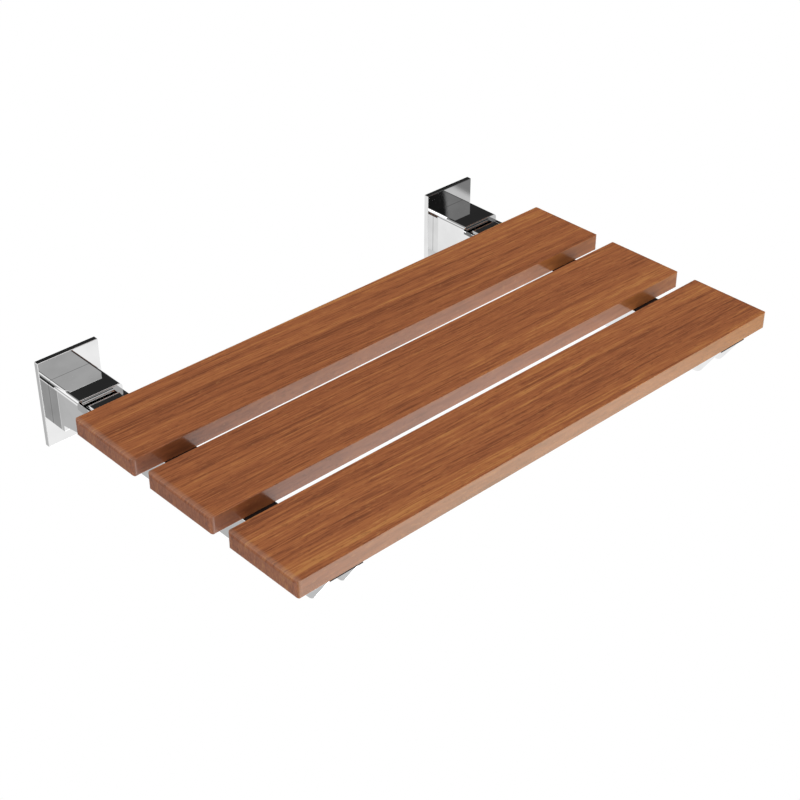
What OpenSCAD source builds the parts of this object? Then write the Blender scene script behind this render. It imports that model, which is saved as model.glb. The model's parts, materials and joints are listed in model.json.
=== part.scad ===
// Fold-down wall seat: three wooden slats on two hinged arms, each arm on its own wall bracket.
// X runs along the wall, the wall is the plane Y = 0, the seat reaches out to -Y, and Z is up.
// The origin lies on the wall, midway between the brackets, at the middle of the wall plates' height.
// A "reach" is a distance out from the wall, and a "rise" is a height above the plates' middle.

/* [Seat slats] */
// Length of each slat, from side to side
slat_l = 615; // [560:5:900]
// Width of each slat, from back to front
slat_w = 90; // [70:0.5:110]
// Thickness of each slat
slat_t = 18; // [16:0.5:28]
// Open gap between neighbouring slats
slat_gap = 22; // [6:0.5:35]
// Rounding of the slats' long edges
slat_edge_r = 0.5; // [0.25:0.25:3]
// Rounding over the slats' ends, above and below
slat_end_r = 3; // [1:0.5:5]
// Rounding of the slats' upright corners
slat_corner_r = 4.5; // [1:0.5:12]
// Distance from the wall to the back edge of the rear slat
slat_reach = 92.4; // [90:0.2:110]

/* [Arms] */
// How far the slats reach past each arm's centre line
slat_overhang = 52.5; // [36:0.5:80]
// Outside width of an arm
arm_w = 36; // [32:1:44]
// Height of an arm, from its top to the bottom of its cheeks
arm_h = 35; // [32:1:44]
// Sheet thickness of the arm channel
arm_wall = 2.5; // [2:0.25:3.5]
// Rounding of the arm's long top edges
arm_edge_r = 2; // [0.5:0.25:3]
// How far the arm's nose stays behind the front of the seat
nose_setback = 1; // [0:0.5:12]
// How far the nose slants back from top to bottom
nose_run = 23; // [10:1:40]
// Rounding where the nose meets the bottom of the cheeks
nose_r = 10; // [4:1:14]

/* [Wall plates] */
// Width of a cover plate
plate_w = 68; // [66:1:90]
// Height of a cover plate
plate_h = 96; // [94:1:120]
// Depth of a cover plate, out from the wall
plate_d = 5.5; // [5:0.25:9]
// Wall thickness of the cover plate's shell
plate_wall = 1.5; // [1:0.1:1.75]
// Rounding of the cover plate's front edges
plate_edge_r = 0.6; // [0.3:0.1:0.9]
// Thickness of the hidden wall base
base_t = 3.2; // [2.5:0.1:3.4]

/* [Wall fixings] */
// Distance from the sides of a cover plate to the screw holes
hole_inset_x = 14; // [11:0.5:15]
// Distance from the top and bottom of a cover plate to the screw holes
hole_inset_z = 14; // [12:0.5:20]
// Radius of the wall screw holes
wall_hole_r = 2.75; // [2.25:0.25:3.25]

/* [Hinge blocks] */
// Width of a hinge block
block_w = 51; // [50:1:60]
// Rise of the block's top
block_top = 25; // [22:0.5:30]
// Rounding of the block's long top edges
block_edge_r = 4.5; // [1:0.5:6]
// Rise of the block's underside behind the hinge, which slopes up from here to the ears
block_low = -16.7; // [-20:0.1:-15.5]
// Rise of the underside of the lip that takes the set screws
lip_low = -23.4; // [-26:0.1:-21.5]
// Reach of the lip's front
lip_reach = 25; // [22:0.5:32]
// Radius of the ears' round ends
ear_r = 8; // [7:0.25:8.5]
// Rise of the ears' underside at the pin
ear_low = -8.2; // [-10:0.1:-6.5]

/* [Hinge] */
// Reach of the hinge pin's centre
pin_reach = 73.4; // [72:0.2:80]
// Rise of the hinge pin's centre
pin_rise = 10.9; // [9:0.1:12]
// Radius of the hinge pin
pin_r = 3.5; // [3:0.25:4]
// Height of the arm's top above the pin's centre
arm_rise = 9.5; // [8:0.25:10.5]
// Height of the ears' top above the pin's centre
ear_rise = 6; // [5.5:0.25:7]
// How far the arm runs back behind the pin
heel_run = 16.2; // [14:0.2:20]
// Gap between the arm and each ear
ear_gap = 1; // [0.9:0.1:1.5]
// Thickness of the stop pad
pad_t = 2.2; // [1.8:0.1:3.5]

/* [Hidden] */
$fn = 64;

// One overrun serves every cut
over = 1;
// Clearance round a screw, stem or rivet in its own hole
fit_gap = 0.05;
// Clearance of a running fit round the hinge pin
run_gap = 0.05;
// Clearance of sliding flat faces
slide_gap = 0.2;
// Gap left between the heel and the stop pad
stop_gap = 0.3;

// The seat
arm_spacing = slat_l - 2 * slat_overhang;
seat_depth = 3 * slat_w + 2 * slat_gap;
seat_front = slat_reach + seat_depth;
arm_top = pin_rise + arm_rise;
arm_low = arm_top - arm_h;

// Slat screws, from below through the arm's web
screw_r = 2.1;
screw_bite = 13;
screw_hole_r = 2.4;
screw_head_r = 4.25;
screw_head_t = 2.6;
screw_head_edge = 0.8;
screw_slot_r = 2.2;
screw_slot_depth = 1.4;
// Share of a slat's width from its edge to each screw
screw_inset_share = 0.25;

// The knuckle and its tenon in the channel
knuckle_run = 12;
tenon_run = 20;
heel_r = 5;
rivet_r = 3;
rivet_inset = 9;
knuckle_back = pin_reach - heel_run;
channel_back = pin_reach + knuckle_run;

// The bushes in the knuckle
bush_wall = 1.5;
bush_l = 12;
bush_flange_r = 6;
bush_flange_t = 0.8;
bush_r = pin_r + run_gap + bush_wall;

// The hinge block
slot_w = arm_w + 2 * ear_gap;
block_reach = knuckle_back - stop_gap - pad_t;
ear_top = pin_rise + ear_rise;
pin_head_r = 4.75;
pin_head_t = 2;
pin_head_sunk = 0.2;
pin_thread_r = 2;
pin_thread_l = 8;
pin_socket_r = 2.3;
pin_socket_depth = 1.3;

// The spigot and the set screws that hold the block on it
spigot_w = 34;
spigot_top = 15;
spigot_low = -11;
spigot_reach = 22;
spigot_h = spigot_top - spigot_low;
spigot_mid = (spigot_top + spigot_low) / 2;
set_screw_r = 3;
set_screw_reach = (plate_d + lip_reach) / 2;
set_screw_span = 18;
set_screw_sunk = 0.6;
set_screw_socket_r = 1.75;
set_screw_socket_depth = 3;

// The wall base inside the cover plate
hole_span_x = plate_w - 2 * hole_inset_x;
hole_span_z = plate_h - 2 * hole_inset_z;
base_inset = 2.5;
wall_head_r = 4.6;
cover_opening_gap = 1;

// The stop pad
pad_w = 24;
pad_h = 9;
pad_drop = 15.5;
pad_corner_r = 2;
pad_stem_r = 2;
pad_stem_l = 5;

// Cuts a square corner of an outline to a radius; the outline's solid side lies towards +x and +y
module corner_cut(at, turn, r) {
    translate(at)
        rotate(turn)
            difference() {
                translate([-over, -over])
                    square(r + over);
                translate([r, r])
                    circle(r);
            }
}

// A rectangle with round corners, centred
module round_rect(size, r) {
    difference() {
        square(size, center = true);
        for (turn = [0, 180]) {
            rotate(turn) {
                corner_cut([-size[0] / 2, -size[1] / 2], 0, r);
                corner_cut([size[0] / 2, -size[1] / 2], 90, r);
            }
        }
    }
}

// A slat without its screw holes, centred
module slat_blank() {
    intersection() {
        linear_extrude(slat_t, center = true)
            round_rect([slat_l, slat_w], slat_corner_r);
        rotate([90, 0, 0])
            linear_extrude(slat_w, center = true)
                round_rect([slat_l, slat_t], slat_end_r);
        across(slat_l)
            round_rect([slat_w, slat_t], slat_edge_r);
    }
}

// Extrudes a side outline, drawn as [Y, Z], across a width in X
module across(width) {
    rotate([90, 0, 90])
        linear_extrude(width, center = true)
            children();
}

// Extrudes a cross-section, drawn as [X, Z], from one reach out to another
module outward(from, to) {
    translate([0, -from, 0])
        rotate([90, 0, 0])
            linear_extrude(to - from)
                children();
}

// A rod along X between two places
module rod_x(from, to, r) {
    translate([from, 0, 0])
        rotate([0, 90, 0])
            cylinder(r = r, h = to - from);
}

// Draws a piece, and its mirror image across the bracket's middle
module both_ends() {
    children();
    mirror([1, 0, 0])
        children();
}

// Puts a bracket's or an arm's pieces at their place: side is -1 for left and 1 for right
module on_side(side) {
    translate([side * arm_spacing / 2, 0, 0])
        mirror([side > 0 ? 1 : 0, 0, 0])
            children();
}

// Moves a piece that is drawn round the origin to the hinge pin's axis
module at_pin() {
    translate([0, -pin_reach, pin_rise])
        children();
}

module wall_base(side) {
    base_w = plate_w - 2 * (plate_wall + base_inset);
    base_h = plate_h - 2 * (plate_wall + base_inset);
    flare = wall_head_r - wall_hole_r;
    color("silver")
        on_side(side)
            difference() {
                union() {
                    outward(0, base_t)
                        square([base_w, base_h], center = true);
                    outward(0, spigot_reach)
                        translate([0, spigot_mid])
                            square([spigot_w, spigot_h], center = true);
                }
                for (sx = [-1, 1], sz = [-1, 1])
                    translate([sx * hole_span_x / 2, 0, sz * hole_span_z / 2])
                        rotate([90, 0, 0]) {
                            translate([0, 0, -over])
                                cylinder(r = wall_hole_r, h = base_t + 2 * over);
                            translate([0, 0, base_t - flare])
                                cylinder(r1 = wall_hole_r, r2 = wall_head_r + over, h = flare + over);
                        }
            }
}

module cover_plate(side) {
    opening_w = spigot_w + 2 * cover_opening_gap;
    opening_h = spigot_h + 2 * cover_opening_gap;
    color("gainsboro")
        on_side(side)
            difference() {
                intersection() {
                    outward(0, plate_d)
                        round_rect([plate_w, plate_h], plate_edge_r);
                    across(plate_w)
                        difference() {
                            translate([-plate_d, -plate_h / 2])
                                square([plate_d, plate_h]);
                            corner_cut([-plate_d, -plate_h / 2], 0, plate_edge_r);
                            corner_cut([-plate_d, plate_h / 2], -90, plate_edge_r);
                        }
                    linear_extrude(plate_h, center = true)
                        difference() {
                            translate([-plate_w / 2, -plate_d])
                                square([plate_w, plate_d]);
                            corner_cut([-plate_w / 2, -plate_d], 0, plate_edge_r);
                            corner_cut([plate_w / 2, -plate_d], 90, plate_edge_r);
                        }
                }
                outward(-over, plate_d - plate_wall)
                    square([plate_w - 2 * plate_wall, plate_h - 2 * plate_wall], center = true);
                outward(0, plate_d + over)
                    translate([0, spigot_mid])
                        square([opening_w, opening_h], center = true);
            }
}

// Side outline of the hinge block: body, rear lip and the ears' round ends
module block_outline() {
    difference() {
        polygon([
            [-plate_d, block_top],
            [-block_reach, block_top],
            [-block_reach, ear_top],
            [-pin_reach, ear_top],
            [-pin_reach, ear_low],
            [-lip_reach, block_low],
            [-lip_reach, lip_low],
            [-plate_d, lip_low]
        ]);
        corner_cut([-block_reach, block_top], -90, plate_edge_r);
        corner_cut([-lip_reach, lip_low], 0, plate_edge_r);
    }
    for (z = [ear_top - ear_r, ear_low + ear_r])
        translate([-pin_reach, z])
            circle(ear_r);
    translate([-pin_reach - ear_r, ear_low + ear_r])
        square([2 * ear_r, ear_top - ear_low - 2 * ear_r]);
}

module hinge_block(side) {
    ear_end = pin_reach + ear_r;
    head_floor = block_w / 2 - pin_head_t - pin_head_sunk;
    color("gainsboro")
        on_side(side)
            difference() {
                intersection() {
                    across(block_w)
                        block_outline();
                    outward(plate_d, ear_end)
                        difference() {
                            translate([-block_w / 2, lip_low])
                                square([block_w, block_top - lip_low]);
                            corner_cut([-block_w / 2, block_top], -90, block_edge_r);
                            corner_cut([block_w / 2, block_top], 180, block_edge_r);
                        }
                }
                outward(block_reach, ear_end + over)
                    translate([-slot_w / 2, lip_low])
                        square([slot_w, block_top - lip_low]);
                outward(plate_d - over, spigot_reach + slide_gap)
                    translate([0, spigot_mid])
                        square([spigot_w + 2 * slide_gap, spigot_h + 2 * slide_gap], center = true);
                at_pin() {
                    rod_x(-block_w / 2 - over, block_w / 2 + over, pin_r + fit_gap);
                    both_ends()
                        rod_x(head_floor, block_w / 2 + over, pin_head_r + fit_gap);
                }
                for (sx = [-1, 1])
                    translate([sx * set_screw_span / 2, -set_screw_reach, lip_low - over])
                        cylinder(r = set_screw_r + fit_gap, h = spigot_low - lip_low + over);
                translate([0, -block_reach, pin_rise - pad_drop])
                    rotate([-90, 0, 0])
                        translate([0, 0, -over])
                            cylinder(r = pad_stem_r + fit_gap, h = pad_stem_l + slide_gap + over);
            }
}

module block_set_screws(side) {
    length = spigot_low - lip_low - set_screw_sunk;
    color("dimgray")
        on_side(side)
            for (sx = [-1, 1])
                translate([sx * set_screw_span / 2, -set_screw_reach, lip_low + set_screw_sunk])
                    difference() {
                        cylinder(r = set_screw_r, h = length);
                        translate([0, 0, -over])
                            cylinder(r = set_screw_socket_r, h = set_screw_socket_depth + over, $fn = 6);
                    }
}

// The pin's head is on the outer side of each bracket
module hinge_pin(side) {
    head_out = -block_w / 2 + pin_head_sunk;
    shaft_end = block_w / 2 - pin_head_sunk - pin_head_t;
    color("lightgray")
        on_side(side)
            at_pin()
                difference() {
                    union() {
                        rod_x(head_out, head_out + pin_head_t, pin_head_r);
                        rod_x(head_out, shaft_end, pin_r);
                    }
                    rod_x(head_out - over, head_out + pin_socket_depth, pin_socket_r, $fn = 6);
                    rod_x(shaft_end - pin_thread_l - slide_gap, shaft_end + over, pin_thread_r);
                }
}

module pin_cap(side) {
    cap_in = block_w / 2 - pin_head_sunk - pin_head_t;
    cap_out = block_w / 2 - pin_head_sunk;
    color("lightgray")
        on_side(side)
            at_pin()
                difference() {
                    union() {
                        rod_x(cap_in, cap_out, pin_head_r);
                        rod_x(cap_in - pin_thread_l, cap_out, pin_thread_r - fit_gap);
                    }
                    rod_x(cap_out - pin_socket_depth, cap_out + over, pin_socket_r, $fn = 6);
                }
}

module stop_pad(side) {
    color("dimgray")
        on_side(side)
            translate([0, 0, pin_rise - pad_drop]) {
                outward(block_reach, block_reach + pad_t)
                    round_rect([pad_w, pad_h], pad_corner_r);
                outward(block_reach - pad_stem_l, block_reach + pad_t / 2)
                    circle(pad_stem_r);
            }
}

// Cross-section of the arm, without its hollow
module arm_section() {
    difference() {
        translate([-arm_w / 2, arm_low])
            square([arm_w, arm_h]);
        corner_cut([-arm_w / 2, arm_top], -90, arm_edge_r);
        corner_cut([arm_w / 2, arm_top], 180, arm_edge_r);
    }
}

// Side outline of the channel: its nose slants back and turns into the bottom edge in an arc
module channel_outline() {
    front = seat_front - nose_setback;
    nose_a = atan(nose_run / arm_h);
    tangent = nose_r / tan((90 + nose_a) / 2);
    corner = [-front + nose_run, arm_low];
    polygon([
        [-channel_back, arm_low],
        [-channel_back, arm_top],
        [-front, arm_top],
        corner + tangent * [-sin(nose_a), cos(nose_a)],
        corner + [tangent, nose_r],
        corner + [tangent, 0]
    ]);
    translate(corner + [tangent, nose_r])
        circle(nose_r);
}

// Where the slat screws stand: a reach for each screw
screw_reaches = [
    for (n = [0 : 2], inset = [screw_inset_share, 1 - screw_inset_share])
        slat_reach + n * (slat_w + slat_gap) + inset * slat_w
];

// Where the rivets cross the tenon: a rise for each rivet
rivet_rises = [arm_top - rivet_inset, arm_low + rivet_inset];

module arm_channel(side) {
    color("gainsboro")
        on_side(side)
            difference() {
                intersection() {
                    outward(channel_back, seat_front)
                        arm_section();
                    across(arm_w)
                        channel_outline();
                }
                outward(channel_back - over, seat_front + over)
                    translate([-arm_w / 2 + arm_wall, arm_low - over])
                        square([arm_w - 2 * arm_wall, arm_h - arm_wall + over]);
                for (reach = screw_reaches)
                    translate([0, -reach, arm_top - arm_wall - over])
                        cylinder(r = screw_hole_r, h = arm_wall + 2 * over);
                for (z = rivet_rises)
                    translate([0, -channel_back - tenon_run / 2, z])
                        rod_x(-arm_w / 2 - over, arm_w / 2 + over, rivet_r + fit_gap);
            }
}

// Side outline of the knuckle: its rear corners are round, so that it swings clear of the block
module knuckle_outline() {
    difference() {
        translate([-channel_back, arm_low])
            square([channel_back - knuckle_back, arm_h]);
        corner_cut([-knuckle_back, arm_low], 90, heel_r);
        corner_cut([-knuckle_back, arm_top], 180, heel_r);
    }
}

module arm_knuckle(side) {
    tenon_w = arm_w - 2 * arm_wall - 2 * fit_gap;
    tenon_h = arm_h - arm_wall - fit_gap - arm_edge_r;
    color("gainsboro")
        on_side(side)
            difference() {
                union() {
                    intersection() {
                        outward(knuckle_back, channel_back)
                            arm_section();
                        across(arm_w)
                            knuckle_outline();
                    }
                    outward(channel_back - over, channel_back + tenon_run)
                        translate([-tenon_w / 2, arm_low + arm_edge_r])
                            square([tenon_w, tenon_h]);
                }
                at_pin()
                    rod_x(-arm_w / 2 - over, arm_w / 2 + over, bush_r + fit_gap);
                for (z = rivet_rises)
                    translate([0, -channel_back - tenon_run / 2, z])
                        rod_x(-arm_w / 2, arm_w / 2, rivet_r + fit_gap);
            }
}

module knuckle_rivets(side) {
    color("gainsboro")
        on_side(side)
            for (z = rivet_rises)
                translate([0, -channel_back - tenon_run / 2, z])
                    rod_x(-arm_w / 2, arm_w / 2, rivet_r);
}

module hinge_bushes(side) {
    inner = arm_w / 2 - bush_l;
    outer = arm_w / 2 + bush_flange_t;
    color("whitesmoke")
        on_side(side)
            at_pin()
                both_ends()
                    difference() {
                        union() {
                            rod_x(inner, outer, bush_r);
                            rod_x(arm_w / 2, outer, bush_flange_r);
                        }
                        rod_x(inner - over, outer + over, pin_r + run_gap);
                    }
}

// One slat screw, pointing up, with its head's bearing face at Z = 0
module slat_screw() {
    difference() {
        union() {
            cylinder(r = screw_r, h = arm_wall + screw_bite);
            translate([0, 0, -screw_head_t])
                cylinder(r1 = screw_head_r - screw_head_edge, r2 = screw_head_r, h = screw_head_edge);
            translate([0, 0, screw_head_edge - screw_head_t])
                cylinder(r = screw_head_r, h = screw_head_t - screw_head_edge);
        }
        translate([0, 0, -screw_head_t - over])
            cylinder(r = screw_slot_r, h = screw_slot_depth + over, $fn = 6);
    }
}

module slat_screws(side) {
    color("silver")
        on_side(side)
            for (reach = screw_reaches)
                translate([0, -reach, arm_top - arm_wall])
                    slat_screw();
}

// A slat, counted from the wall: 0 is the rear one
module slat(n) {
    back = slat_reach + n * (slat_w + slat_gap);
    color("sienna")
        difference() {
            translate([0, -back - slat_w / 2, arm_top + slat_t / 2])
                slat_blank();
            for (side = [-1, 1], k = [0, 1])
                translate([side * arm_spacing / 2, -screw_reaches[2 * n + k], arm_top - over])
                    cylinder(r = screw_r + fit_gap, h = screw_bite + slide_gap + over);
        }
}

wall_base(-1);  // wall_base_left
cover_plate(-1);  // cover_plate_left
hinge_block(-1);  // hinge_block_left
block_set_screws(-1);  // block_set_screws_left
hinge_pin(-1);  // hinge_pin_left
pin_cap(-1);  // pin_cap_left
stop_pad(-1);  // stop_pad_left
arm_channel(-1);  // arm_channel_left
arm_knuckle(-1);  // arm_knuckle_left
knuckle_rivets(-1);  // knuckle_rivets_left
hinge_bushes(-1);  // hinge_bushes_left
slat_screws(-1);  // slat_screws_left
wall_base(1);  // wall_base_right
cover_plate(1);  // cover_plate_right
hinge_block(1);  // hinge_block_right
block_set_screws(1);  // block_set_screws_right
hinge_pin(1);  // hinge_pin_right
pin_cap(1);  // pin_cap_right
stop_pad(1);  // stop_pad_right
arm_channel(1);  // arm_channel_right
arm_knuckle(1);  // arm_knuckle_right
knuckle_rivets(1);  // knuckle_rivets_right
hinge_bushes(1);  // hinge_bushes_right
slat_screws(1);  // slat_screws_right
slat(0);  // slat_rear
slat(1);  // slat_middle
slat(2);  // slat_front
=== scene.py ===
"""The looks of the fold-down wall seat: oiled hardwood slats on polished chrome arms and brackets.

Every CAD node keeps its solid. This script gives each one its material, and adds black end pieces
to the painted black shade on the arms' tops, the studio and the camera.
"""

import json
from math import cos, radians, sin

import bmesh
import bpy
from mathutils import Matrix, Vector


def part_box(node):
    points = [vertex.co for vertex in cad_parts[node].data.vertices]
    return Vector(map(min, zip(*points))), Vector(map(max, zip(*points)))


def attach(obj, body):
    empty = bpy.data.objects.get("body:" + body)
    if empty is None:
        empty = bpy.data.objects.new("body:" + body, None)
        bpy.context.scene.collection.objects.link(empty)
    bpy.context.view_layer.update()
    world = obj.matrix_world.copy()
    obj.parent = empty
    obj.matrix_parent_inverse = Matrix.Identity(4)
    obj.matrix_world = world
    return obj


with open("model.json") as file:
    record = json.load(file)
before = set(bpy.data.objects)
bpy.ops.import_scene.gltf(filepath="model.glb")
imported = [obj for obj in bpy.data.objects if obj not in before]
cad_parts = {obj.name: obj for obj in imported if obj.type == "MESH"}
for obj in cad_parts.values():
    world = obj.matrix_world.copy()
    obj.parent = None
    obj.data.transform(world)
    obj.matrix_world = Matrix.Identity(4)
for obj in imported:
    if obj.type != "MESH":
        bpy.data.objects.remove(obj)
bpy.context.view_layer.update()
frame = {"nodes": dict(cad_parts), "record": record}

# The camera stands left of the seat, in front of it and above it, as in the photograph
PICTURE_WIDTH = 800
FOCAL_LENGTH_PIXELS = 1642.25
SENSOR_WIDTH = 36
CAMERA_PLACE = (-0.9284, -1.1918, 0.8809)
CAMERA_LOOKS_DOWN = 33.82
CAMERA_LOOKS_RIGHT = 43.01

# The usual height of a seat above the floor
SEAT_HEIGHT = 0.45
FLOOR_SIZE = 12

# The studio as the chrome mirrors it: a pale floor, grey walls, and boxes that lie over them. Each
# box has the heading of its middle (0 is behind the seat, 90 to the right), its elevation, the
# radius of its even part, the radius where it has faded out, all in degrees, and its brightness.
# Later boxes cover earlier ones.
FLOOR_BRIGHTNESS = 0.9
WALL_BRIGHTNESS = 0.35
STUDIO_BOXES = (
    (0, -90, 38, 52, 2.3),
    (-172, -8, 24, 40, 2.2),
    (-128, -4, 17, 20, 0.03),
    (-129, 16, 12, 15, 0.03),
    (-138, 42, 10, 13, 1.2),
    (133, -37, 2, 11, 1.35),
    (113, -24, 8, 12, 0.25),
    (-18, -40, 12, 27, 0.48),
    (-160, -33, 8, 24, 0.34),
    (-141, -43, 7, 12, 0.08),
    (-30, 26, 9, 19, 1.05),
    (43, 31, 24, 42, 0.022),
    (135, 45, 26, 36, 0.05),
    (133, -12, 16.5, 18, 0.57),
    (135, -4, 20.5, 21.5, 0.06),
    (129.7, -17.6, 9.9, 10.15, 0.21),
    (158, -2, 10, 13, 0.8),
    (158, 16, 8, 11, 0.8),
    (150, 50, 9, 12, 0.8),
    (153, 32, 8, 12, 0.41),
    (131.5, 27.5, 6, 8, 0.19),
    (140.8, 27.5, 4.95, 5.05, 0.01),
    (126.5, -26.5, 3.5, 6, 0.2),
    (-165, 50, 13, 18, 1.0),
    (180, 72, 18, 28, 4.6),
)
# The floor turns into the walls between these heights on the unit sphere, below and above 0
HORIZON_BLUR = 0.12

# The layers of the wood's grain, from wide bands to fine fibres. Each has its number of waves to
# the metre along a slat, across it and through it, and its weight in the tone.
BAND_WAVES, BAND_WEIGHT = (0.9, 40, 12), 0.18
STREAK_WAVES, STREAK_WEIGHT = (1.3, 110, 34), 0.30
LINE_WAVES, LINE_WEIGHT = (4, 360, 110), 0.20
FIBRE_WAVES, FIBRE_WEIGHT = (30, 800, 260), 0.32

# One more layer has short dashes, which are pores where it is low and flecks where it is high.
# Each range says where they begin and where they are full.
DASH_WAVES = (140, 680, 260)
PORE_RANGE = (0.40, 0.28)
FLECK_RANGE = (0.62, 0.75)

# The grain runs off to the side by this share of the length, and sways within this many metres
GRAIN_DRIFT = 0.022
SWAY_WAVES = (2.2, 9, 9)
SWAY_WIDTH = 0.016

# The grain's colours as screen codes, from the darkest tone to the palest
GRAIN_TONES = (
    (0.38, "6C3B22"),
    (0.44, "854C2C"),
    (0.50, "965834"),
    (0.56, "A36439"),
    (0.62, "B37944"),
)

# What lies over the grain: its colour, and the share of it that shows at most
PORE_TONE, PORE_SHARE = "5A2F1B", 0.4
FLECK_TONE, FLECK_SHARE = "C79058", 0.25
END_TONE, END_SHARE = "85513A", 0.4
# The next is a painted sheen on the rounded top edge at each slat's left end
PAINTED_SHEEN_TONE, PAINTED_SHEEN_SHARE = "A48574", 0.3

# Where the painted sheen on the rounding at a slat's left end begins, and where it is full
PAINTED_SHEEN_FROM = -0.3003
PAINTED_SHEEN_TO = -0.3045

# Painted light and shade on the slats' long sides from left to right, darker to the left, shaded in
# the gaps and lit at the front of the seat. Their places are shares of the way along the slat,
# across the reach.
PAINTED_LIGHT_REACH = 0.3
PAINTED_LIGHT_PLACES = (0.05, 0.28, 0.78)
GAP_PAINTED_LIGHT = ("7C4427", "955E33", "B8753E")
FRONT_PAINTED_LIGHT = ("996330", "A27335", "BC843F")
PAINTED_LIGHT_SHARE = 0.5

# How squarely a surface faces an end, or a side or the top: where that begins, and where it is full
END_FACING = (0.4, 0.95)
SIDE_FACING = (0.6, 0.95)

# The wood's roughness from the dullest fibres to the glossiest, what the top and the underside add
# to it, and the share of the varnish that they have lost
FIBRE_ROUGHNESS = (0.42, 0.32)
FLAT_ROUGHNESS = 0.2
FLAT_WEAR = 0.75

# How far the painted black shade on an arm's top reaches down its edges, its colours and roughness
PAINTED_SHADE_DEPTH = 0.0013
PAINTED_SHADE_TONES = ("0A0605", "150C09")
PAINTED_SHADE_ROUGHNESS = 0.6

# The black end piece of that painted shade: its height, its reach back into the arm's nose,
# and the rounding of its edges
SHADE_END_HEIGHT = 0.001
SHADE_END_OVERLAP = 0.001
SHADE_END_EDGE = 0.00012
SHADE_END_EDGE_STEPS = 3

# The shade of the joint with the cover plate: how far it reaches out along a hinge block, the share
# of it that shows at the plate, and its brightness
JOINT_SHADE_REACH = 0.0008
JOINT_SHADE_SHARE = 0.75
JOINT_SHADE_BRIGHTNESS = 0.3


def linear(code):
    """A colour as the shaders want it, from its six-digit screen code."""
    channels = [int(code[i:i + 2], 16) / 255 for i in (0, 2, 4)]
    return [c / 12.92 if c <= 0.04045 else ((c + 0.055) / 1.055) ** 2.4 for c in channels] + [1]


def grey(value):
    return (value, value, value, 1)


def towards(heading, elevation):
    """The unit vector of a heading and an elevation in degrees."""
    turn, rise = radians(heading), radians(elevation)
    return (sin(turn) * cos(rise), cos(turn) * cos(rise), sin(rise))


class Graph:
    """A shader's node tree. Each method adds nodes and returns the output that the next takes."""

    def __init__(self, tree):
        self.tree = tree
        tree.nodes.clear()

    def add(self, kind, inputs, output=0, **settings):
        node = self.tree.nodes.new(kind)
        for name, value in settings.items():
            setattr(node, name, value)
        for socket, value in inputs.items():
            if isinstance(value, bpy.types.NodeSocket):
                self.tree.links.new(value, node.inputs[socket])
            else:
                node.inputs[socket].default_value = value
        return node.outputs[output] if node.outputs else None

    def math(self, operation, a, b=0.0):
        return self.add("ShaderNodeMath", {0: a, 1: b}, operation=operation)

    def weigh(self, *parts):
        """The sum of (value, weight) pairs."""
        total = 0.0
        for value, weight in parts:
            inputs = {0: value, 1: weight, 2: total}
            total = self.add("ShaderNodeMath", inputs, operation="MULTIPLY_ADD")
        return total

    def dot(self, vector, axis):
        inputs = {0: vector, 1: axis}
        return self.add("ShaderNodeVectorMath", inputs, output="Value", operation="DOT_PRODUCT")

    def split(self, vector):
        """A vector's three components."""
        return tuple(self.add("ShaderNodeSeparateXYZ", {0: vector}).node.outputs)

    def noise(self, vector, waves, shift=(0, 0, 0), detail=2.0, roughness=0.5):
        """Noise with this many waves to the metre along each axis."""
        inputs = {"Vector": vector, "Location": shift, "Scale": waves}
        stretched = self.add("ShaderNodeMapping", inputs)
        inputs = {"Vector": stretched, "Scale": 1.0, "Detail": detail, "Roughness": roughness}
        return self.add("ShaderNodeTexNoise", inputs)

    def span(self, value, low, high, to_low=0.0, to_high=1.0, smooth=True):
        """Turns a value from low..high into to_low..to_high, and keeps it inside them."""
        inputs = {"Value": value, 1: low, 2: high, 3: to_low, 4: to_high}
        shape = "SMOOTHSTEP" if smooth else "LINEAR"
        return self.add("ShaderNodeMapRange", inputs, interpolation_type=shape)

    def lobe(self, direction, axis, inner, outer):
        """1 within inner degrees of an axis, falling to 0 at outer degrees from it."""
        return self.span(self.dot(direction, axis), cos(radians(outer)), cos(radians(inner)))

    def mix(self, share, a, b):
        """A colour: a where the share is 0, b where it is 1."""
        return self.add("ShaderNodeMix", {0: share, 6: a, 7: b}, output=2, data_type="RGBA")

    def ramp(self, value, stops):
        """A colour from (place, screen code) stops."""
        output = self.add("ShaderNodeValToRGB", {0: value})
        points = output.node.color_ramp.elements
        while len(points) < len(stops):
            points.new(0.5)
        for point, (place, code) in zip(points, stops):
            point.position = place
            point.color = linear(code)
        return output

    def bump(self, height, depth, strength):
        """A normal from a height pattern, whose full depth is in metres."""
        inputs = {"Height": height, "Distance": depth, "Strength": strength}
        return self.add("ShaderNodeBump", inputs)

    def places(self):
        """Where a point lies on its piece, in metres."""
        return self.add("ShaderNodeTexCoord", {}, output="Object")

    def facing(self):
        """How squarely a surface faces along X, Y and Z, to either side, each from 0 to 1."""
        normal = self.add("ShaderNodeTexCoord", {}, output="Normal")
        return [self.math("ABSOLUTE", component) for component in self.split(normal)]

    def surface(self, shader):
        self.add("ShaderNodeOutputMaterial", {"Surface": shader})


def new_graph(name):
    material = bpy.data.materials.new(name)
    material.use_nodes = True
    return material, Graph(material.node_tree)


def new_object(name, data):
    thing = bpy.data.objects.new(name, data)
    bpy.context.scene.collection.objects.link(thing)
    return thing


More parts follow.
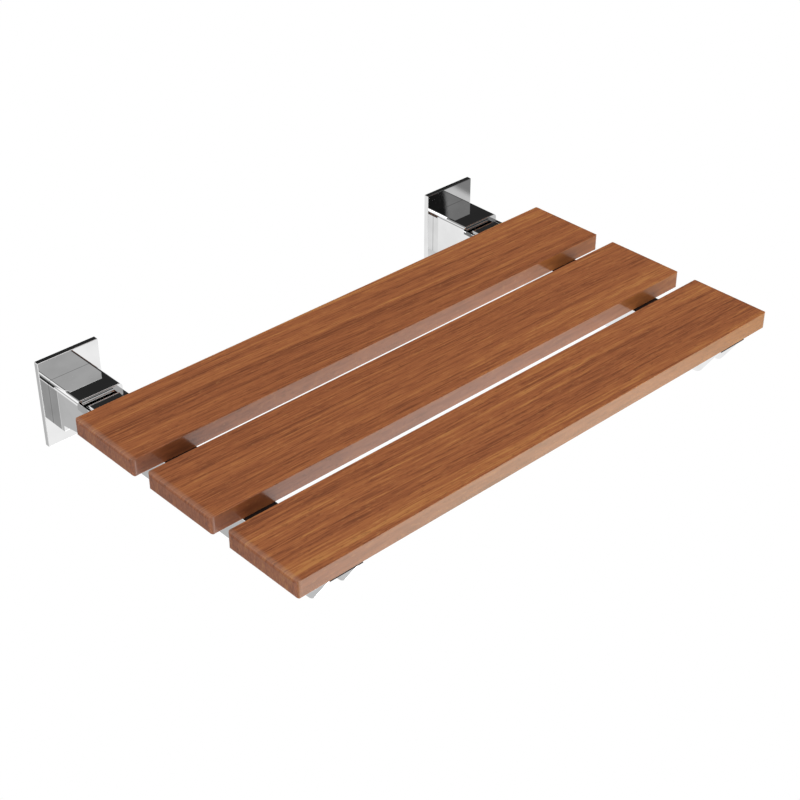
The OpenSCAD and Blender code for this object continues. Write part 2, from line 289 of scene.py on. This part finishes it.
def wood(name, shift, side_painted_light):
    """Oiled hardwood whose grain runs along X. The shift gives each slat its own piece of the tree,
    and the three colours of painted light and shade go on its long sides from left to right."""
    material, g = new_graph(name)
    place = g.places()
    x, _, z = g.split(place)
    facing_x, facing_y, facing_z = g.facing()
    on_end = g.span(facing_x, *END_FACING)
    on_side = g.span(facing_y, *SIDE_FACING)
    on_flat = g.span(facing_z, *SIDE_FACING)

    drift = g.dot(place, (GRAIN_DRIFT, 1, 0))
    sway = g.math("SUBTRACT", g.noise(place, SWAY_WAVES, shift, detail=1), 0.5)
    across = g.math("ADD", drift, g.math("MULTIPLY", sway, SWAY_WIDTH))
    grain = g.add("ShaderNodeCombineXYZ", {0: x, 1: across, 2: z})
    bands = g.noise(grain, BAND_WAVES, shift, detail=1)
    streaks = g.noise(grain, STREAK_WAVES, shift, detail=2, roughness=0.65)
    lines = g.noise(grain, LINE_WAVES, shift, detail=1, roughness=0.6)
    fibres = g.noise(grain, FIBRE_WAVES, shift, detail=1, roughness=0.6)
    dashes = g.noise(grain, DASH_WAVES, shift, detail=1)

    tone = g.weigh(
        (bands, BAND_WEIGHT),
        (streaks, STREAK_WEIGHT),
        (lines, LINE_WEIGHT),
        (fibres, FIBRE_WEIGHT),
    )
    colour = g.ramp(tone, GRAIN_TONES)
    pores = g.span(dashes, *PORE_RANGE, 0.0, PORE_SHARE)
    colour = g.mix(pores, colour, linear(PORE_TONE))
    flecks = g.span(dashes, *FLECK_RANGE, 0.0, FLECK_SHARE)
    colour = g.mix(flecks, colour, linear(FLECK_TONE))
    colour = g.mix(g.math("MULTIPLY", on_end, END_SHARE), colour, linear(END_TONE))

    # The end's share is taken off twice, so that the painted sheen on the rounding has gone before
    # the end face begins
    painted_sheen = g.math("SUBTRACT", g.span(x, PAINTED_SHEEN_FROM, PAINTED_SHEEN_TO), g.math("MULTIPLY", on_end, 2.0))
    painted_sheen = g.span(painted_sheen, 0.0, 1.0, 0.0, PAINTED_SHEEN_SHARE, smooth=False)
    colour = g.mix(painted_sheen, colour, linear(PAINTED_SHEEN_TONE))
    # Painted light and shade along the long sides, darker towards the left end
    along = g.span(x, -PAINTED_LIGHT_REACH, PAINTED_LIGHT_REACH, smooth=False)
    painted_light = g.ramp(along, list(zip(PAINTED_LIGHT_PLACES, side_painted_light)))
    colour = g.mix(g.math("MULTIPLY", on_side, PAINTED_LIGHT_SHARE), colour, painted_light)

    roughness = g.span(fibres, 0.3, 0.7, *FIBRE_ROUGHNESS)
    roughness = g.math("ADD", roughness, g.math("MULTIPLY", on_flat, FLAT_ROUGHNESS))
    # The ends have no varnish at all
    wear = g.math("MAXIMUM", on_end, g.math("MULTIPLY", on_flat, FLAT_WEAR))
    height = g.weigh((fibres, 1.0), (lines, 0.6), (pores, -1.0))
    g.surface(g.add("ShaderNodeBsdfPrincipled", {
        "Base Color": colour,
        "Roughness": roughness,
        "IOR": 1.5,
        "Specular IOR Level": 0.3,
        "Coat Weight": g.math("SUBTRACT", 1.0, wear),
        "Coat IOR": 1.6,
        "Coat Roughness": 0.12,
        "Normal": g.bump(height, depth=0.0002, strength=0.25),
    }))
    return material


def chrome(name, black_shade=False, joint_shade=False):
    """Polished chrome with the faint haze of handling. An arm's top is painted black as shade where
    the slats lie on it, and a hinge block has painted shade where it meets its cover plate."""
    material, g = new_graph(name)
    place = g.places()
    _, y, z = g.split(place)
    haze = g.noise(place, waves=(38, 38, 38), detail=3)
    grit = g.noise(place, waves=(900, 900, 900), detail=1)
    colour = g.mix(g.span(haze, 0.35, 0.7), grey(0.93), grey(0.87))
    roughness = g.span(haze, 0.3, 0.75, 0.006, 0.02)
    bare = 1.0
    # Painted shade on a hinge block where it meets the cover plate
    if joint_shade:
        plate_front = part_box("cover_plate_left")[0][1]
        shade = g.span(y, plate_front - JOINT_SHADE_REACH, plate_front, 0.0, JOINT_SHADE_SHARE)
        colour = g.mix(shade, colour, grey(JOINT_SHADE_BRIGHTNESS))
    # Painted shade: the arm's top is black where the slats lie on it, back to the rear slat
    if black_shade:
        arm_top = max(vertex.co.z for vertex in frame["nodes"]["arm_channel_left"].data.vertices)
        seat_back = max(vertex.co.y for vertex in frame["nodes"]["slat_rear"].data.vertices)
        below = g.math("LESS_THAN", z, arm_top - PAINTED_SHADE_DEPTH)
        behind = g.math("GREATER_THAN", y, seat_back)
        bare = g.math("MAXIMUM", below, behind)
        black = g.mix(haze, linear(PAINTED_SHADE_TONES[0]), linear(PAINTED_SHADE_TONES[1]))
        colour = g.mix(bare, black, colour)
        roughness = g.add("ShaderNodeMix", {0: bare, 2: PAINTED_SHADE_ROUGHNESS, 3: roughness})
    g.surface(g.add("ShaderNodeBsdfPrincipled", {
        "Base Color": colour,
        "Metallic": bare,
        "Roughness": roughness,
        "Specular IOR Level": 0.15,
        "Normal": g.bump(grit, depth=0.00002, strength=0.05),
    }))
    return material


def steel():
    """Satin stainless steel with brush lines along X."""
    material, g = new_graph("brushed_steel")
    place = g.places()
    lines = g.noise(place, waves=(60, 2600, 2600), detail=2, roughness=0.7)
    cloud = g.noise(place, waves=(70, 70, 70), detail=2)
    g.surface(g.add("ShaderNodeBsdfPrincipled", {
        "Base Color": g.mix(g.span(lines, 0.3, 0.7), grey(0.52), grey(0.68)),
        "Metallic": 1.0,
        "Roughness": g.span(cloud, 0.3, 0.7, 0.22, 0.36),
        "Normal": g.bump(lines, depth=0.00003, strength=0.3),
    }))
    return material


def rubber():
    """Black rubber with a fine moulded grain."""
    material, g = new_graph("black_rubber")
    place = g.places()
    grain = g.noise(place, waves=(1500, 1500, 1500), detail=2)
    dust = g.noise(place, waves=(120, 120, 120), detail=3)
    g.surface(g.add("ShaderNodeBsdfPrincipled", {
        "Base Color": g.mix(g.span(dust, 0.45, 0.75), linear("1F1F20"), linear("3A3A3A")),
        "Roughness": g.span(dust, 0.3, 0.7, 0.62, 0.8),
        "Normal": g.bump(grain, depth=0.0001, strength=0.4),
    }))
    return material


def bush_plastic():
    """Ivory bearing plastic, a little greyer where it has been rubbed."""
    material, g = new_graph("bearing_plastic")
    rub = g.noise(g.places(), waves=(300, 300, 300), detail=3)
    g.surface(g.add("ShaderNodeBsdfPrincipled", {
        "Base Color": g.mix(g.span(rub, 0.4, 0.7), linear("DAD6C9"), linear("B9B6AC")),
        "Roughness": g.span(rub, 0.3, 0.7, 0.38, 0.52),
        "Normal": g.bump(rub, depth=0.00005, strength=0.3),
    }))
    return material


def dress_nodes():
    """Each CAD node takes the material of its slot, apart from the arms, the hinge blocks and the
    slats, which have their own."""
    by_slot = {
        "chrome": chrome("polished_chrome"),
        "steel": steel(),
        "rubber": rubber(),
        "plastic": bush_plastic(),
    }
    arm = chrome("polished_chrome_with_black_shade", black_shade=True)
    block = chrome("polished_chrome_with_joint_shade", joint_shade=True)
    own = {
        "arm_channel_left": arm,
        "arm_channel_right": arm,
        "hinge_block_left": block,
        "hinge_block_right": block,
        "slat_rear": wood("oiled_wood_rear", (0.0, 0.0, 0.0), GAP_PAINTED_LIGHT),
        "slat_middle": wood("oiled_wood_middle", (3.7, 11.3, 5.1), GAP_PAINTED_LIGHT),
        "slat_front": wood("oiled_wood_front", (8.9, 27.1, 2.3), FRONT_PAINTED_LIGHT),
    }
    for part in frame["record"]["subparts"]:
        name = part["node"]
        mesh = frame["nodes"][name].data
        mesh.materials.clear()
        mesh.materials.append(own.get(name) or by_slot[part["material_slot"]])
    make_shade_ends(arm)


def make_shade_ends(material):
    """The black end piece of each arm's painted shade, a dark piece put where there is shade. It is
    flush with the front slat, and shows as a thin dark line below it."""
    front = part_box("slat_front")[0][1]
    for side in ("left", "right"):
        low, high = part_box("arm_channel_" + side)
        back = low[1] + SHADE_END_OVERLAP
        bottom = high[2] - SHADE_END_HEIGHT
        bm = bmesh.new()
        bmesh.ops.create_cube(bm, size=1)
        for vertex in bm.verts:
            vertex.co.x = high[0] if vertex.co.x > 0 else low[0]
            vertex.co.y = back if vertex.co.y > 0 else front
            vertex.co.z = high[2] if vertex.co.z > 0 else bottom
        bmesh.ops.bevel(bm, geom=bm.edges[:], offset=SHADE_END_EDGE,
                        segments=SHADE_END_EDGE_STEPS, profile=0.5, affect="EDGES")
        name = "shade_end_" + side
        mesh = bpy.data.meshes.new(name)
        bm.to_mesh(mesh)
        bm.free()
        mesh.materials.append(material)
        piece = new_object(name, mesh)
        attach(piece, "seat")


def make_floor():
    """A white floor that only the camera sees, and only from above."""
    half = FLOOR_SIZE / 2
    signs = ((-1, -1), (1, -1), (1, 1), (-1, 1))
    corners = [(sx * half, sy * half, -SEAT_HEIGHT) for sx, sy in signs]
    mesh = bpy.data.meshes.new("floor")
    mesh.from_pydata(corners, [], [(0, 1, 2, 3)])
    floor = new_object("floor", mesh)
    floor.visible_diffuse = False
    floor.visible_glossy = False
    floor.visible_transmission = False
    floor.visible_shadow = False
    material, g = new_graph("white_floor")
    underside = g.add("ShaderNodeNewGeometry", {}, output="Backfacing")
    white = g.add("ShaderNodeEmission", {"Color": grey(1), "Strength": 1.0})
    clear = g.add("ShaderNodeBsdfTransparent", {})
    g.surface(g.add("ShaderNodeMixShader", {0: underside, 1: white, 2: clear}))
    mesh.materials.append(material)


def make_studio():
    """White behind the object, and round it the boxes and walls that the chrome mirrors. They are
    all the light there is."""
    world = bpy.data.worlds.new("studio")
    world.use_nodes = True
    bpy.context.scene.world = world
    g = Graph(world.node_tree)
    direction = g.add("ShaderNodeTexCoord", {}, output="Generated")
    above = g.span(g.split(direction)[2], -HORIZON_BLUR, HORIZON_BLUR)
    light = g.mix(above, grey(FLOOR_BRIGHTNESS), grey(WALL_BRIGHTNESS))
    for heading, elevation, even, faded, brightness in STUDIO_BOXES:
        share = g.lobe(direction, towards(heading, elevation), even, faded)
        light = g.mix(share, light, grey(brightness))
    seen = g.add("ShaderNodeLightPath", {}, output="Is Camera Ray")
    room = g.add("ShaderNodeBackground", {"Color": light, "Strength": 1.0})
    plain = g.add("ShaderNodeBackground", {"Color": grey(1), "Strength": 1.0})
    shown = g.add("ShaderNodeMixShader", {0: seen, 1: room, 2: plain})
    g.add("ShaderNodeOutputWorld", {"Surface": shown})
    bpy.context.scene.view_settings.view_transform = "Standard"


def make_camera():
    """The photograph's camera."""
    data = bpy.data.cameras.new("camera")
    data.sensor_width = SENSOR_WIDTH
    data.lens = FOCAL_LENGTH_PIXELS / PICTURE_WIDTH * SENSOR_WIDTH
    camera = new_object("camera", data)
    camera.location = CAMERA_PLACE
    camera.rotation_euler = (radians(90 - CAMERA_LOOKS_DOWN), 0, -radians(CAMERA_LOOKS_RIGHT))
    bpy.context.scene.camera = camera


dress_nodes()
make_floor()
make_studio()
make_camera()
